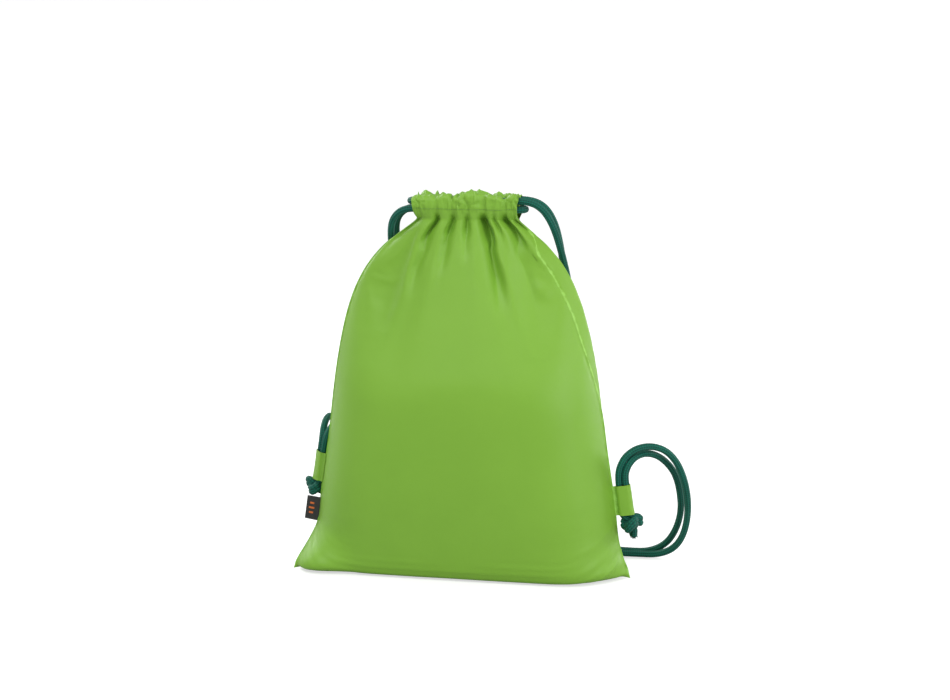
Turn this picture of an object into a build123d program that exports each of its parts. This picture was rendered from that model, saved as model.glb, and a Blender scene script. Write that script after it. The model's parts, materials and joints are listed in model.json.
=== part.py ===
"""Drawstring bag: a two-panel fabric sack with a gathered drawcord channel at the mouth, two doubled
cords that are also the shoulder straps, a fabric tab at each side seam that anchors them, and a label.

Frame: +Z up, the front faces -Y, +X to the right seen from the front. The origin is on the surface
that the bag stands on, under the middle of the bag. Millimetres.
"""

import math
import os

from build123d import *

# Driving dimensions
CLOTH = 1.4  # panel thickness, with the stiffness of the fill behind it
CORD_DIAMETER = 6.6
CORD_PITCH = 7.0  # between the two strands of one cord, side by side
CLEARANCE = 0.4  # between pieces that turn on each other

# The standing bag: height, half width, half depth, squareness (0 lens to 1 box), sideways shift
SECTIONS = [
    (0, 168.0, 43.0, 1.00, 0.0),
    (5, 166.5, 48.0, 1.00, 0.0),
    (20, 162.0, 51.5, 0.85, 0.0),
    (70, 155.0, 56.0, 0.60, 0.0),
    (130, 146.0, 58.0, 0.50, 0.0),
    (190, 138.5, 56.0, 0.45, 0.0),
    (240, 130.0, 50.0, 0.45, 0.0),
    (280, 119.0, 42.0, 0.45, 0.0),
    (310, 105.0, 33.0, 0.50, 0.5),
    (332, 88.0, 25.0, 0.60, 1.2),
    (348, 70.0, 19.5, 0.75, 2.0),
    (362, 51.5, 15.2, 0.90, 2.5),
]
SPREAD = (0.93, 0.8, 0.5)  # where a section's outline is set, as shares of its half width
LENS = (0.30, 0.62, 0.92)  # its depth there for a lens, as shares of its half depth
BOX = (0.45, 0.84, 0.99)  # and for a box
NECK_TOP = SECTIONS[-1][0]
MOUTH_X = SECTIONS[-1][4]

# The gathered channel round the mouth: one tube in front, one behind
CHANNEL_LENGTH = 100.0
CHANNEL_DEPTH = 11.0
CHANNEL_WALL = 0.8
CHANNEL_Y = 9.5  # from the middle of the mouth to the middle of a tube
CHANNEL_LOW = NECK_TOP + CLEARANCE
CHANNEL_TOP = 390.0
HINGE_Z = CHANNEL_LOW + CHANNEL_DEPTH / 2
UPPER_RUN_Z = 381.5  # the right cord
LOWER_RUN_Z = 372.5  # the left cord
STITCH = (3.2, 0.5, 0.5)
STITCH_PITCH = 5.0
STITCH_Z = HINGE_Z + 1.0

# Side tabs: a strip of the bag's cloth folded round the two strands, its ends in the side seam
TAB_HEIGHT = 30.0
TAB_WALL = 0.8
TAB_PLAY = 0.3  # round the strands inside it
TAB_TAIL = 1.7  # from the seam to the tab's sewn ends
TAB_TAIL_THICKNESS = 2.0
STRAND_OUT = (7.0, 7.0 + CORD_PITCH)  # from the seam to the strands
RIGHT_TAB = {"side": 1, "z": 80.0, "lean": 8.5, "turn": 0.0}
LEFT_TAB = {"side": -1, "z": 100.0, "lean": 8.5, "turn": 50.0}
KNOT_WIDTH = 24.0
KNOT_HEIGHT = 19.0
KNOT_OUT = 14.5  # from the seam to the middle of the knot
TAIL_LENGTH = 9.0
RIGHT_TAILS = (10.0, -15.0)  # how the two cut ends tilt from straight down
LEFT_TAILS = (-40.0, -75.0)

# Woven label in the left seam
LABEL = {"side": -1, "z": 56.0, "lean": 8.5, "turn": 0.0}
LABEL_HEIGHT = 26.0
LABEL_WIDTH = 12.5
LABEL_THICKNESS = 1.2
LABEL_TAIL = 1.0

# Seam allowances inside the bag
SEAM_WIDTH = 8.0
SEAM_THICKNESS = 1.6

# Routes of the straps, from the channel's end to the tab. The last point of each is the tab's.
RIGHT_FRONT_ROUTE = [
    (52.9, -9.5, 381.5), (65, -9.5, 381.5), (78.5, -6.5, 375), (88, -1, 360), (94.5, 8, 337),
    (101.5, 26, 296), (106.5, 43, 240), (109.5, 53, 180), (110, 57, 120), (112, 60, 70), (118, 65, 36),
    (128, 72, 15), (144, 79, 4.8), (167, 83.5, 3.9), (190, 80.5, 5), (208, 73, 15), (219, 63, 35),
    (223.5, 49.5, 63), (222, 37, 90), (215, 28, 114), (203.5, 21, 129.5), (189, 13.5, 135.5),
    (175, 7, 133.8), (164.3, 2.6, 126.5), (158.5, 1, 115.5), (157, 0, 105),
]  # fmt: skip
RIGHT_BACK_ROUTE = [
    (52.9, 9.5, 381.5), (65, 9.5, 381.5), (78.5, 12.5, 375), (87.5, 17.5, 359.5), (92.5, 25, 336),
    (96, 38, 294), (98, 52, 238), (98.5, 60, 180), (98.5, 64, 124), (101, 67, 76), (108.5, 70, 42),
    (119, 79.5, 19), (135, 88.5, 6), (157, 93, 4), (179, 89.5, 5.5), (197.5, 82.5, 16),
    (209, 73.5, 35), (215, 62.5, 58), (214.5, 52, 80), (211, 43.5, 99), (204.3, 36, 111.8),
    (195.4, 27.9, 121.6), (186.9, 20, 126.3), (179.5, 13.3, 127), (173.3, 7.9, 124.6),
    (168.5, 3.8, 119.8), (165.2, 1.1, 113), (163.9, 0, 105.2),
]  # fmt: skip
LEFT_FRONT_ROUTE = [
    (-47.9, -9.5, 372.5), (-57, -9.5, 372.5), (-65.7, -7.6, 369.3), (-72.7, -4, 363.1),
    (-77.6, 2.5, 353.6), (-81, 15.5, 336), (-82, 33, 308), (-79.5, 49, 266), (-73.5, 60, 218),
    (-65, 66, 166), (-56, 67.5, 114), (-49.5, 71, 70), (-47, 77, 40), (-51.5, 85, 18.5),
    (-65, 91, 6), (-84, 89.5, 5), (-99, 81, 16), (-108.5, 73.5, 36), (-114, 67, 62), (-117.5, 61, 86),
    (-120, 56.5, 108), (-123.2, 50.3, 128.3), (-128.3, 41.6, 140.7), (-135, 30.8, 146.6),
    (-142.1, 19.4, 145.7), (-147.8, 10.3, 138.7), (-150.9, 5.4, 127.8),
]  # fmt: skip
LEFT_BACK_ROUTE = [
    (-47.9, 9.5, 372.5), (-57, 9.5, 372.5), (-65.7, 11.2, 369.2), (-72.7, 14.6, 362.8),
    (-77, 20, 353), (-78.5, 30, 335), (-77, 43, 305), (-72, 56, 262), (-64, 67, 210),
    (-54.5, 74, 156), (-45, 77, 104), (-39, 81, 64), (-37.5, 87, 36), (-43, 95, 15.5),
    (-57, 103, 5), (-79, 108, 3.9), (-103, 108, 5.5), (-125, 103, 17), (-139, 95, 38),
    (-147, 87, 62), (-151.5, 79.5, 87), (-153.6, 72.4, 110), (-154.7, 64.2, 130.8),
    (-155.5, 53.5, 142.7), (-155.9, 40.6, 147.9), (-155.9, 27.1, 146.5), (-155.6, 16.5, 139.4),
    (-155.3, 10.7, 128.4),
]  # fmt: skip


def profile(z, column):
    """A value of the standing bag's sections at a height, between the two nearest ones."""
    for low, high in zip(SECTIONS, SECTIONS[1:]):
        if low[0] <= z <= high[0]:
            share = (z - low[0]) / (high[0] - low[0])
            return low[column] + share * (high[column] - low[column])
    return SECTIONS[-1][column]


def section(z, half_width, half_depth, squareness, shift):
    """The bag's outline at one height: a front and a back curve that meet at the side seams."""
    depths = [lens + squareness * (box - lens) for lens, box in zip(LENS, BOX)]
    right = [(half_width, 0)] + [(s * half_width, d * half_depth) for s, d in zip(SPREAD, depths)]
    left = [(-x, y) for x, y in reversed(right)]
    back = right + [(0, half_depth)] + left
    front = [(x, -y) for x, y in back]
    curves = [Spline(*[(x + shift, y, z) for x, y in side]) for side in (back, front)]
    return Wire(curves)


def body_solid(inset, low):
    """The standing bag as one lofted solid, inset by a cloth's thickness for its inside."""
    wires = []
    for z, half_width, half_depth, squareness, shift in SECTIONS:
        height = max(z, low) if z == SECTIONS[0][0] else z
        wires.append(section(height, half_width - 1.4 * inset, half_depth - inset, squareness, shift))
    return Solid.make_loft(wires)


def half_space(side):
    """Everything in front of the side seams (side -1) or behind them (side 1)."""
    return Pos(0, side * 150, 200) * Box(500, 300, 500)


def panels():
    """Front and back panel, which meet at the side seams and in the middle of the base."""
    shell = body_solid(0, 0) - body_solid(CLOTH, CLOTH)
    return shell & half_space(-1), shell & half_space(1)


def side_allowance(side):
    """The two plies of cloth that a side seam leaves inside the bag."""
    heights = [14 + 16 * i for i in range(21)]
    edge = 1.4 * CLOTH + 1.2
    outer = [(side * (profile(z, 1) - edge) + profile(z, 4), z) for z in heights]
    inner = [(side * (profile(z, 1) - edge - SEAM_WIDTH) + profile(z, 4), z) for z in heights]
    face = Plane.XZ * make_face(Polyline(*outer, *reversed(inner), close=True))
    return extrude(face, SEAM_THICKNESS / 2, both=True)


def base_allowance():
    """The two plies of cloth that the base seam leaves inside the bag."""
    length = 2 * SECTIONS[1][1] - 50
    return Pos(0, 0, CLOTH + 0.1 + SEAM_WIDTH / 2) * Box(length, SEAM_THICKNESS, SEAM_WIDTH)


def channel(side):
    """One gathered tube of the mouth. Its rounded lower edge is about the line it turns on."""
    height = CHANNEL_TOP - CHANNEL_LOW
    middle = (CHANNEL_TOP + CHANNEL_LOW) / 2
    plane = Plane((MOUTH_X - CHANNEL_LENGTH / 2, side * CHANNEL_Y, middle), x_dir=(0, 0, 1), z_dir=(1, 0, 0))
    outer = SlotOverall(height, CHANNEL_DEPTH)
    inner = SlotOverall(height - 2 * CHANNEL_WALL, CHANNEL_DEPTH - 2 * CHANNEL_WALL)
    return extrude(plane * (outer - inner), CHANNEL_LENGTH)


def channel_stitching(side):
    """The row of stitches that closes a channel, on its outer face."""
    count = int(CHANNEL_LENGTH / STITCH_PITCH) - 1
    y = side * (CHANNEL_Y + CHANNEL_DEPTH / 2 + STITCH[1] / 2)
    x = [MOUTH_X + STITCH_PITCH * (i - (count - 1) / 2) for i in range(count)]
    return Compound([Pos(place, y, STITCH_Z) * Box(*STITCH) for place in x])


def channel_run(side, z):
    """The stretch of a cord that lies inside a channel."""
    plane = Plane((MOUTH_X - CHANNEL_LENGTH / 2, side * CHANNEL_Y, z), z_dir=(1, 0, 0))
    return extrude(plane * Circle(CORD_DIAMETER / 2), CHANNEL_LENGTH)


def cord_turn(side, z):
    """The half turn a cord makes from the front channel to the back one, at one end of the mouth."""
    x = MOUTH_X + side * (CHANNEL_LENGTH / 2 + CLEARANCE)
    start, end = (x, -CHANNEL_Y, z), (x, CHANNEL_Y, z)
    path = ThreePointArc(start, (x + side * CHANNEL_Y, 0, z), end)
    return sweep(Plane(start, z_dir=(side, 0, 0)) * Circle(CORD_DIAMETER / 2), path=path)


def seam_plane(at):
    """A plane on the side seam: x away from the bag, z up along the seam, turned back about it."""
    side, lean = at["side"], math.radians(at["lean"])
    origin = (side * profile(at["z"], 1), 0, at["z"])
    out = (side * math.cos(lean), 0, math.sin(lean))
    up = (-side * math.sin(lean), 0, math.cos(lean))
    return Plane(origin, x_dir=out, z_dir=up) * Rot(0, 0, side * at["turn"])


def on_seam(at, out, across, up):
    """A point given in a seam plane's own directions."""
    return tuple((seam_plane(at) * Pos(out, across, up)).position)


def tab(at):
    """A side tab: a flat loop of cloth round the two strands, and its two sewn ends."""
    middle = sum(STRAND_OUT) / 2
    inner_height = CORD_DIAMETER + 2 * TAB_PLAY
    outer_height = inner_height + 2 * TAB_WALL
    tail_end = middle - CORD_PITCH / 2 - inner_height / 2
    tail = Pos((TAB_TAIL + tail_end) / 2, 0) * Rectangle(tail_end - TAB_TAIL, TAB_TAIL_THICKNESS)
    loop = Pos(middle, 0) * SlotCenterToCenter(CORD_PITCH, outer_height)
    hole = Pos(middle, 0) * SlotCenterToCenter(CORD_PITCH, inner_height)
    return seam_plane(at) * Pos(0, 0, -TAB_HEIGHT / 2) * extrude(loop + tail - hole, TAB_HEIGHT)


def cord_knot(at, tilts):
    """Both strands of a cord inside its tab, the overhand knot that stops them, and the cut ends."""
    radius = CORD_DIAMETER / 2
    low = -TAB_HEIGHT / 2 - CLEARANCE
    middle = low - KNOT_HEIGHT / 2
    strands = [
        Pos(out, 0, middle) * extrude(Circle(radius), TAB_HEIGHT / 2 - middle) for out in STRAND_OUT
    ]
    oval = Pos(KNOT_OUT, 0, middle) * scale(Sphere(KNOT_WIDTH / 2), by=(1, 0.9, KNOT_HEIGHT / KNOT_WIDTH))
    tails = [
        Pos(KNOT_OUT + 3 - CORD_PITCH * i, 3 * i - 1, middle)
        * Rot(0, tilt, 0)
        * Pos(0, 0, -KNOT_HEIGHT / 2 - TAIL_LENGTH / 2)
        * Cylinder(radius, TAIL_LENGTH + 6)
        for i, tilt in enumerate(tilts)
    ]
    solid = oval
    for piece in strands + tails:
        solid = solid + piece
    keep = Pos(0, 0, low - 50) * Box(120, 120, 100)
    stubs = strands[0] + strands[1]
    return seam_plane(at) * ((solid & keep) + stubs)


def tab_stitching(at):
    """The bar of stitches across a tab's sewn ends, one row on each face."""
    size = (0.8, 0.4, 2.0)
    rows = []
    for side in (-1, 1):
        for i in range(9):
            y = side * (TAB_TAIL_THICKNESS + size[1]) / 2
            rows.append(Pos(TAB_TAIL + size[0] / 2, y, 3.0 * (i - 4)) * Box(*size))
    return seam_plane(at) * Compound(rows)


def strap(name, route, at, strand):
    """A free strand of cord: straight runs joined by arcs as large as the runs allow."""
    points = [Vector(*p) for p in route] + [
        Vector(*on_seam(at, STRAND_OUT[strand], 0, TAB_HEIGHT / 2 + CLEARANCE))
    ]
    runs = [b - a for a, b in zip(points, points[1:])]
    radii = []
    for before, after in zip(runs, runs[1:]):
        turn = math.radians(before.get_angle(after))
        radii.append(0.45 * min(before.length, after.length) / math.tan(turn / 2))
    path = FilletPolyline(*points, radius=radii)
    tube = sweep(Plane(points[0], z_dir=runs[0]) * Circle(CORD_DIAMETER / 2), path=path)
    section_area = math.pi * CORD_DIAMETER**2 / 4
    share = tube.volume / (section_area * path.length)
    print(name, "length", round(path.length), "volume share", round(share, 3))
    print("  radii", [round(r) for r in radii])
    return tube


def label():
    """A folded woven label, sewn into the left side seam by its open edge."""
    plate = Box(LABEL_WIDTH, LABEL_THICKNESS, LABEL_HEIGHT)
    return seam_plane(LABEL) * Pos(LABEL_TAIL + LABEL_WIDTH / 2, 0, 0) * plate


def label_motif():
    """Three plain bars woven on each face of the label."""
    bars = []
    for side in (-1, 1):
        for i in range(3):
            y = side * (LABEL_THICKNESS + 0.3) / 2
            place = Pos(LABEL_TAIL + LABEL_WIDTH / 2 + 0.5, y, 5.0 * (i - 1))
            bars.append(place * Box(6.0 - 1.5 * abs(i - 1), 0.3, 2.2))
    return seam_plane(LABEL) * Compound(bars)


def build():
    """Every piece of the bag by its node name."""
    front_panel, back_panel = panels()
    pieces = {
        "front_panel": front_panel,
        "back_panel": back_panel,
        "left_seam_allowance": side_allowance(-1),
        "right_seam_allowance": side_allowance(1),
        "base_seam_allowance": base_allowance(),
        "left_tab": tab(LEFT_TAB),
        "right_tab": tab(RIGHT_TAB),
        "left_tab_stitching": tab_stitching(LEFT_TAB),
        "right_tab_stitching": tab_stitching(RIGHT_TAB),
        "left_cord_knot": cord_knot(LEFT_TAB, LEFT_TAILS),
        "right_cord_knot": cord_knot(RIGHT_TAB, RIGHT_TAILS),
        "left_cord_turn": cord_turn(1, LOWER_RUN_Z),
        "right_cord_turn": cord_turn(-1, UPPER_RUN_Z),
        "label": label(),
        "label_motif": label_motif(),
    }
    for side, name in ((-1, "front"), (1, "back")):
        pieces[f"{name}_channel"] = channel(side)
        pieces[f"{name}_channel_stitching"] = channel_stitching(side)
        pieces[f"right_cord_{name}_run"] = channel_run(side, UPPER_RUN_Z)
        pieces[f"left_cord_{name}_run"] = channel_run(side, LOWER_RUN_Z)
    routes = {
        "right_front_strap": (RIGHT_FRONT_ROUTE, RIGHT_TAB, 0),
        "right_back_strap": (RIGHT_BACK_ROUTE, RIGHT_TAB, 1),
        "left_front_strap": (LEFT_FRONT_ROUTE, LEFT_TAB, 0),
        "left_back_strap": (LEFT_BACK_ROUTE, LEFT_TAB, 1),
    }
    for name, (route, at, strand) in routes.items():
        pieces[name] = strap(name, route, at, strand)
    return pieces


os.makedirs("parts", exist_ok=True)
for node, shape in build().items():
    export_step(shape, f"parts/{node}.step")
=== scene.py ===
"""Looks of the drawstring bag: gathered taffeta from a cloth simulation, braided cords, tabs and label.

Metres, in the frame of the CAD model: +Z up, the front faces -Y, +X to the right.
"""

import json
from math import atan2, cos, exp, hypot, pi, radians, sin, sqrt, tanh

import bpy
import numpy as np
from mathutils import Matrix, Vector, noise
from mathutils.bvhtree import BVHTree


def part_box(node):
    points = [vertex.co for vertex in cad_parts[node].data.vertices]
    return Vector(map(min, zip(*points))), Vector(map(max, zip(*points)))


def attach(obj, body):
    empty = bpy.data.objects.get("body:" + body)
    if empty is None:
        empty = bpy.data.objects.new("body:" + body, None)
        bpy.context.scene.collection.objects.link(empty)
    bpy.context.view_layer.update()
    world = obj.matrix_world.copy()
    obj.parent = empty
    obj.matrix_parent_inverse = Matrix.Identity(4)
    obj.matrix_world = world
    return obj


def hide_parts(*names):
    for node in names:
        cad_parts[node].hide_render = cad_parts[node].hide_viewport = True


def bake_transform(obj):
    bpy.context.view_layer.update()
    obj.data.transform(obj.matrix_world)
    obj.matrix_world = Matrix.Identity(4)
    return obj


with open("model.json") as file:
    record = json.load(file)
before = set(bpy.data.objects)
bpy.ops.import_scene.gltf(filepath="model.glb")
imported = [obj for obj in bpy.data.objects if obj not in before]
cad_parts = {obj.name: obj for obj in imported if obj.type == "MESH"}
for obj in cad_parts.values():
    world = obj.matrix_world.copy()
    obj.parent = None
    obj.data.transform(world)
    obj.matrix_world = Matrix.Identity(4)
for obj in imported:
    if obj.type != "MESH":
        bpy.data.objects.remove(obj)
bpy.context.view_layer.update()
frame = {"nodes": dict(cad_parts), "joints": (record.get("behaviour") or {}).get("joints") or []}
MM = 0.001
FACES = ((-1, "front"), (1, "back"))  # by the sign of y

# Cloth cut of one panel, from the base seam to the lower edge of the drawcord channel
CUT_WIDTH = 360 * MM
CUT_HEIGHT = 420 * MM
HEM_HEIGHT = 52 * MM  # what the channel takes, outside and turned in
COLUMNS = 108  # cells across a panel
ROWS = 112  # cells up a panel
CORD_RADIUS = 3.45 * MM


# --- Helpers ---


def mesh_object(name, points, faces):
    """A new smooth-shaded object from plain points and faces."""
    mesh = bpy.data.meshes.new(name)
    mesh.from_pydata([tuple(p) for p in points], [], faces)
    mesh.update()
    obj = bpy.data.objects.new(name, mesh)
    bpy.context.scene.collection.objects.link(obj)
    shade_smooth(mesh)
    return obj


def shade_smooth(mesh):
    """Every face of the mesh is shaded smooth."""
    mesh.polygons.foreach_set("use_smooth", [True] * len(mesh.polygons))


def apply_modifiers(obj):
    """The object keeps the shape that its modifiers give it now."""
    graph = bpy.context.evaluated_depsgraph_get()
    mesh = bpy.data.meshes.new_from_object(obj.evaluated_get(graph))
    obj.modifiers.clear()
    if obj.data.shape_keys:
        obj.shape_key_clear()
    obj.data = mesh
    return obj


def smoothstep(low, high, x):
    """0 below low, 1 above high, and smooth between them, for a number or an array."""
    t = np.clip((np.asarray(x, float) - low) / (high - low), 0, 1)
    step = t * t * (3 - 2 * t)
    return step if step.ndim else float(step)


def wander(x, y, z):
    """Smooth noise from about -1 to 1 at a point."""
    return noise.noise(Vector((x, y, z)))


def in_mm(*numbers):
    """A tuple of metres from millimetres."""
    return tuple(number * MM for number in numbers)


def length_along(line):
    """The length of a line of points from its start to each point."""
    return np.concatenate([[0], np.cumsum(np.linalg.norm(np.diff(line, axis=0), axis=1))])


def thickened(obj, thickness):
    """The sheet with a real thickness, its middle left where it is."""
    solid = obj.modifiers.new("thick", "SOLIDIFY")
    solid.thickness, solid.offset = thickness, 0
    return apply_modifiers(obj)


# --- The bag's outline, read from the CAD panels ---

NECK_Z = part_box("front_panel")[1].z
CHANNEL_LOW, CHANNEL_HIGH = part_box("front_channel")
MOUTH_X = (CHANNEL_LOW.x + CHANNEL_HIGH.x) / 2
CHANNEL_Y = (CHANNEL_LOW.y + CHANNEL_HIGH.y) / 2
CHANNEL_R = (CHANNEL_HIGH.y - CHANNEL_LOW.y) / 2


def tree_of(node):
    """A search tree of a CAD node's surface."""
    mesh = frame["nodes"][node].data
    return BVHTree.FromPolygons([v.co for v in mesh.vertices], [p.vertices for p in mesh.polygons])


PANEL_TREE = {-1: tree_of("front_panel"), 1: tree_of("back_panel")}


def inside_height(z):
    """The height, kept a little inside both ends of the panels."""
    return min(max(z, 0.5 * MM), NECK_Z - 0.5 * MM)


def seam_x(z, side):
    """Where a side seam is at a height."""
    height = inside_height(z)
    hit = PANEL_TREE[-1].ray_cast(Vector((side * 0.4, -0.2 * MM, height)), Vector((-side, 0, 0)))[0]
    return hit.x


OUTLINE_STEPS = 60  # from seam to seam


def outline(z, face):
    """The outer line of a panel at one height, from the left seam to the right one."""
    height = inside_height(z)
    left, right = seam_x(z, -1), seam_x(z, 1)
    turn = np.linspace(pi, 0, OUTLINE_STEPS + 1)
    line = []
    for x in (left + right) / 2 + (right - left) / 2 * np.cos(turn):  # closer near the seams
        origin = Vector((min(max(x, left + 0.1 * MM), right - 0.1 * MM), face * 0.3, height))
        hit = PANEL_TREE[face].ray_cast(origin, Vector((0, -face, 0)))[0]
        line.append((x, hit.y if hit else 0.0))
    line[0], line[-1] = (left, 0.0), (right, 0.0)
    return np.array(line)


def evenly(line, shares):
    """Points on a line at shares of its length."""
    length = length_along(line)
    at = np.asarray(shares) * length[-1]
    return np.stack([np.interp(at, length, line[:, k]) for k in range(2)], axis=1)


LEVELS = np.concatenate([np.linspace(0, 30, 7), np.linspace(45, 290, 15), np.linspace(300, 362, 9)]) * MM


def panel_grid(face, shares):
    """Outline points of a panel at each level, as an array of levels by shares by (x, y)."""
    return np.array([evenly(outline(z, face), shares) for z in LEVELS])


def on_panel(grid, column, z):
    """The point of a panel's outline grid at one column and height."""
    x = np.interp(z, LEVELS, grid[:, column, 0])
    y = np.interp(z, LEVELS, grid[:, column, 1])
    return x, y


# --- The cloth ---


# Valleys of the front's gather along the mouth: share of the width, depth in mm and half width as a share
FRONT_VALLEYS = [
    (0.07, 2.0, 0.030), (0.255, 6.5, 0.020), (0.39, 5.0, 0.024), (0.51, 4.5, 0.024),
    (0.65, 9.0, 0.030), (0.745, 3.5, 0.016), (0.835, 8.0, 0.028), (0.94, 4.5, 0.022),
]  # fmt: skip
BACK_PLEATS = 10


def pleat_wave(face, share):
    """The gather's in and out across a panel in mm, with pleats of uneven width and depth."""
    share = np.asarray(share, float)
    if face < 0:
        wave = 2.4 + 0 * share
        for middle, depth, width in FRONT_VALLEYS:
            wave = wave - depth * np.exp(-(((share - middle) / width) ** 2))
        return wave
    bend = 0.35 * np.sin(2 * pi * share * 2.0 + 0.6) + 0.2 * np.sin(2 * pi * share * 5 + 2.1)
    depth = 3.9 + 0.9 * np.sin(2 * pi * share * 3.3 + 1.0)
    return depth * np.sin(2 * pi * (BACK_PLEATS * share + bend))


# Deep folds under the gather, pushed in from outside. Share of the width at the top and at the lower
# end, depth in mm, half width as a share, and the height in mm where the fold dies out.
FRONT_FOLDS = [
    (0.07, 0.05, 4.0, 0.035, 318), (0.255, 0.30, 6.0, 0.020, 282), (0.39, 0.41, 5.0, 0.022, 304),
    (0.51, 0.52, 3.5, 0.024, 318), (0.65, 0.68, 13.0, 0.034, 266), (0.745, 0.76, 3.5, 0.016, 312),
    (0.835, 0.845, 11.0, 0.034, 270), (0.94, 0.95, 4.0, 0.022, 312),
]  # fmt: skip
BACK_FOLDS = [
    (0.12, 0.10, 7.0, 0.030, 285), (0.31, 0.35, 11.0, 0.032, 265), (0.52, 0.50, 6.0, 0.028, 290),
    (0.69, 0.66, 9.0, 0.030, 270), (0.88, 0.91, 5.0, 0.028, 298),
]  # fmt: skip


def fold_depth(face, share, z, sharp=2.0):
    """How far the deep folds push the cloth in at a point of a panel."""
    depth = 0.0
    for top, low, deep, width, end in FRONT_FOLDS if face < 0 else BACK_FOLDS:
        way = float(np.clip((z - end * MM) / (NECK_Z - end * MM), 0, 1))
        middle = low + (top - low) * way
        reach = (smoothstep(0, 0.45, way) * (1 - 0.6 * smoothstep(0.75, 1, way)))
        half = width * (0.25 + 1.15 * sin(pi * min(1.0, way * 0.8 + 0.03)) ** 0.6)
        depth += deep * MM * reach * exp(-(abs((share - middle) / half) ** sharp))
    return depth


def cloth_start():
    """The bag's cloth as it is first laid on the fill: points, faces and the flat cut they come from."""
    shares = np.linspace(0, 1, COLUMNS + 1)
    points, flat, faces, index = [], [], [], {}
    for face in (-1, 1):
        grid = panel_grid(face, shares)
        base = np.abs(grid[0, :, 1])
        wave = pleat_wave(face, shares)
        ends = smoothstep(0, 0.05, shares) * smoothstep(0, 0.05, 1 - shares)
        for row in range(ROWS + 1):
            up = CUT_HEIGHT * row / ROWS
            for column, share in enumerate(shares):
                on_edge = column in (0, COLUMNS) or row == 0
                if face > 0 and on_edge:
                    index[face, row, column] = index[-1, row, column]
                    continue
                if up < base[column]:
                    x, _ = on_panel(grid, column, 0)
                    y, z = face * up, 0.6 * MM
                else:
                    z = (up - base[column]) / (CUT_HEIGHT - base[column]) * NECK_Z
                    x, y = on_panel(grid, column, z)
                y *= 1 - 0.3 * smoothstep(0.33, 0.362, z)
                y -= face * ends[column] * fold_depth(face, share, z)
                y += face * wave[column] * ends[column] * MM * smoothstep(0.312, 0.36, z)
                index[face, row, column] = len(points)
                points.append((x, y, max(z, 0.6 * MM)))
                flat.append(((share - 0.5) * CUT_WIDTH, 0.0, up))
        for row in range(ROWS):
            for column in range(COLUMNS):
                quad = [index[face, row + a, column + b] for a, b in ((0, 0), (0, 1), (1, 1), (1, 0))]
                faces.append(quad if face < 0 else quad[::-1])
    return points, flat, faces, index


FILL_COLUMNS = 41  # from seam to seam
FILL_LEVELS = np.linspace(4, 332, 46) * MM


def fill_solid():
    """The light filling that holds the bag open: the CAD shape, a little smaller and softly lumpy."""
    shares = np.linspace(0, 1, FILL_COLUMNS)
    grids = {face: panel_grid(face, shares) for face in (-1, 1)}
    rings = []
    for z in FILL_LEVELS:
        ring = []
        for face in (-1, 1):
            order = range(FILL_COLUMNS) if face < 0 else range(FILL_COLUMNS - 2, 0, -1)
            for column in order:
                x, y = on_panel(grids[face], column, z)
                swell = 0.97 + 0.025 * wander(x * 12, face * 3.0, z * 9)
                lift = 0.045 * wander(x * 9 + 4.0, face * 2.0, 0.3)
                thin = 1 - 0.72 * smoothstep(0.185 + lift, 0.318, z)
                x = MOUTH_X + (x - MOUTH_X) * (0.975 - 0.02 * smoothstep(0.3, 0.332, z))
                ring.append((x, y * swell * thin, z))
        rings.append(ring)
    width = len(rings[0])
    points = [p for ring in rings for p in ring]
    faces = []
    for start in range(0, len(points) - width, width):
        for i in range(width):
            n = (i + 1) % width
            faces.append((start + i, start + n, start + width + n, start + width + i))
    faces += [tuple(reversed(range(width))), tuple(range(len(points) - width, len(points)))]
    return mesh_object("fill", points, faces)


def collider(obj, thickness, friction):
    """The object stops cloth."""
    obj.modifiers.new("Collision", "COLLISION")
    obj.collision.thickness_outer = thickness
    obj.collision.cloth_friction = friction


CLOTH_SETTINGS = {
    "quality": 7,
    "mass": 0.12,
    "tension_stiffness": 40,
    "compression_stiffness": 14,
    "shear_stiffness": 12,
    "bending_stiffness": 1.2,
    "tension_damping": 8,
    "compression_damping": 8,
    "shear_damping": 8,
    "air_damping": 1.5,
    "vertex_group_mass": "held",
    "pin_stiffness": 1.0,
    "use_pressure": True,
    "uniform_pressure_force": 0.25,
}
FRAMES = 45


def simulate(cloth, pins):
    """The cloth settles on the fill and the floor, held at the mouth."""
    group = cloth.vertex_groups.new(name="held")
    for vertex, weight in pins.items():
        group.add([vertex], weight, "REPLACE")
    fill = fill_solid()
    collider(fill, 1.0 * MM, 6)
    ground = mesh_object("ground", [(-1, -1, 0), (1, -1, 0), (1, 1, 0), (-1, 1, 0)], [(0, 1, 2, 3)])
    collider(ground, 0.5 * MM, 20)
    modifier = cloth.modifiers.new("Cloth", "CLOTH")
    settings = modifier.settings
    for setting, value in CLOTH_SETTINGS.items():
        setattr(settings, setting, value)
    settings.rest_shape_key = cloth.data.shape_keys.key_blocks["flat"]
    settings.effector_weights.gravity = 0.5
    modifier.collision_settings.distance_min = 1.2 * MM
    modifier.collision_settings.collision_quality = 3
    modifier.collision_settings.use_self_collision = False
    scene = bpy.context.scene
    scene.frame_start, scene.frame_end = 1, FRAMES
    modifier.point_cache.frame_start, modifier.point_cache.frame_end = 1, FRAMES
    for number in range(1, FRAMES + 1):
        scene.frame_set(number)
    apply_modifiers(cloth)
    for obj in (fill, ground):
        bpy.data.objects.remove(obj)


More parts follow.
